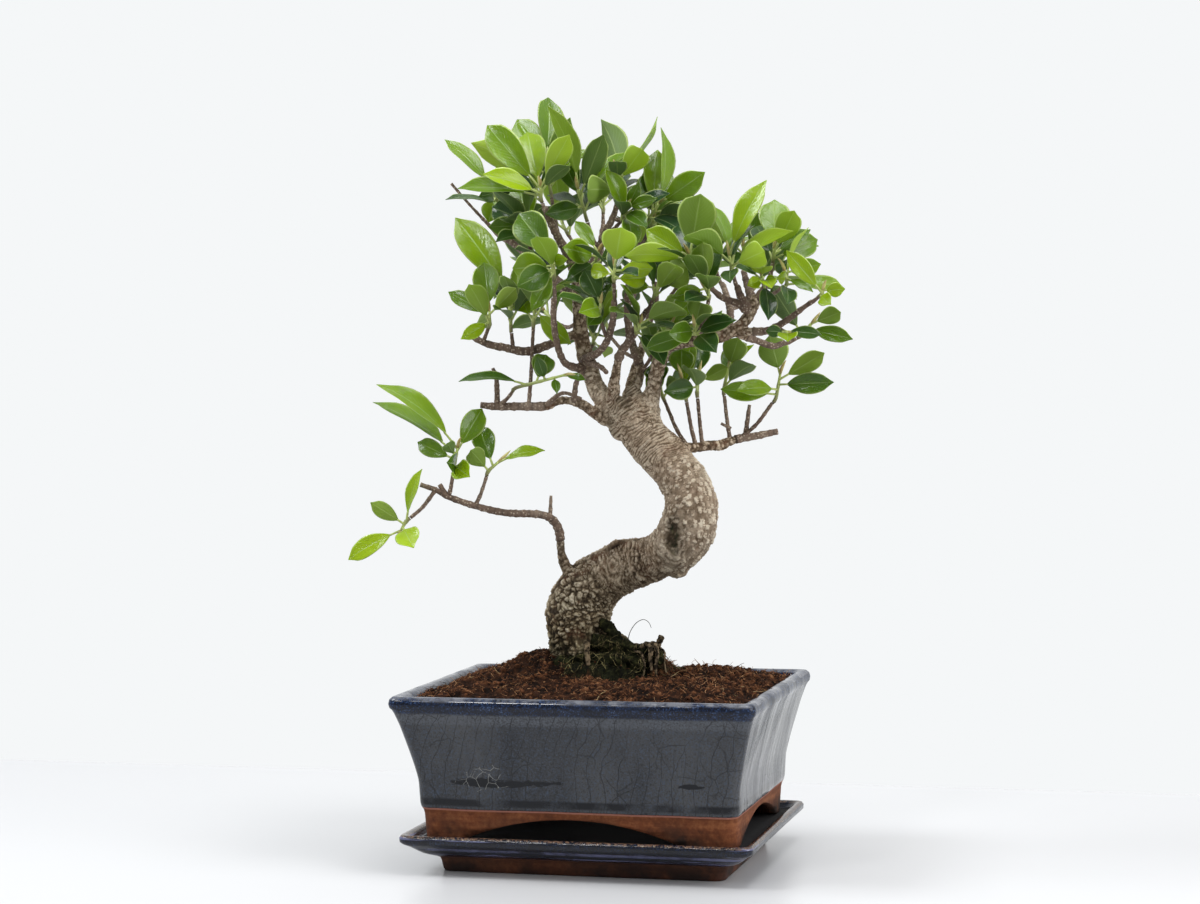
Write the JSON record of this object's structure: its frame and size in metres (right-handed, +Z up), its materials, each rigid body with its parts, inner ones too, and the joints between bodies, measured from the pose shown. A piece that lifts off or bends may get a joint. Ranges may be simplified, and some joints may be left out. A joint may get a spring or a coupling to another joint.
{
  "type": "bonsai tree in pot",
  "caption": "Small fig bonsai with an S-curved trunk, spreading branches and glossy leaves, rooted in soil in a glazed rectangular pot on its matching drip saucer.",
  "frame": {"origin": "middle of the saucer's flat base, on the surface that it stands on", "axes": "+X along the long side of the pot, +Y to its back and +Z up, along the tree's height"},
  "size_m": [0.2751, 0.1839, 0.4198],
  "materials": {
    "glaze": "gloss",
    "saucer_glaze": "gloss",
    "soil": "matte",
    "bark": "matte",
    "leaf": "satin"
  },
  "bodies": {
    "root": {"leafy_stem_back_centre": "leaf", "leafy_stem_back_left": "leaf", "leafy_stem_back_left_high": "leaf", "leafy_stem_back_left_low": "leaf", "leafy_stem_back_low": "leaf", "leafy_stem_back_mid": "leaf", "leafy_stem_back_right": "leaf", "leafy_stem_back_right_far": "leaf", "leafy_stem_back_right_high": "leaf", "leafy_stem_back_top": "leaf", "leafy_stem_behind_fork": "leaf", "leafy_stem_centre_green": "leaf", "leafy_stem_centre_low": "leaf", "leafy_stem_centre_top": "leaf", "leafy_stem_centre_up": "leaf", "leafy_stem_crown_dark": "leaf", "leafy_stem_crown_far": "leaf", "leafy_stem_crown_front": "leaf", "leafy_stem_crown_low": "leaf", "leafy_stem_crown_mid": "leaf", "leafy_stem_crown_mid_left": "leaf", "leafy_stem_crown_right": "leaf", "leafy_stem_crown_top": "leaf", "leafy_stem_front_bright": "leaf", "leafy_stem_front_left": "leaf", "leafy_stem_front_low": "leaf", "leafy_stem_inner_right": "leaf", "leafy_stem_leader_front": "leaf", "leafy_stem_left_inner": "leaf", "leafy_stem_left_post": "leaf", "leafy_stem_left_tip": "leaf", "leafy_stem_low_inner": "leaf", "leafy_stem_low_mid": "leaf", "leafy_stem_low_right_far": "leaf", "leafy_stem_low_right_inner": "leaf", "leafy_stem_low_right_mid": "leaf", "leafy_stem_low_right_near": "leaf", "leafy_stem_low_right_thin": "leaf", "leafy_stem_low_tip": "leaf", "leafy_stem_mid_right": "leaf", "leafy_stem_mid_spray": "leaf", "leafy_stem_rear_top": "leaf", "leafy_stem_right_back": "leaf", "leafy_stem_right_fork_end": "leaf", "leafy_stem_right_high": "leaf", "leafy_stem_right_mid": "leaf", "leafy_stem_right_small": "leaf", "leafy_stem_right_tip": "leaf", "leafy_stem_right_top": "leaf", "leafy_stem_right_under": "leaf", "leafy_stem_up_olive": "leaf", "leafy_stem_up_right": "leaf", "pot": "glaze", "saucer": "saucer_glaze", "soil": "soil", "tree": "bark"}
  },
  "joints": []
}
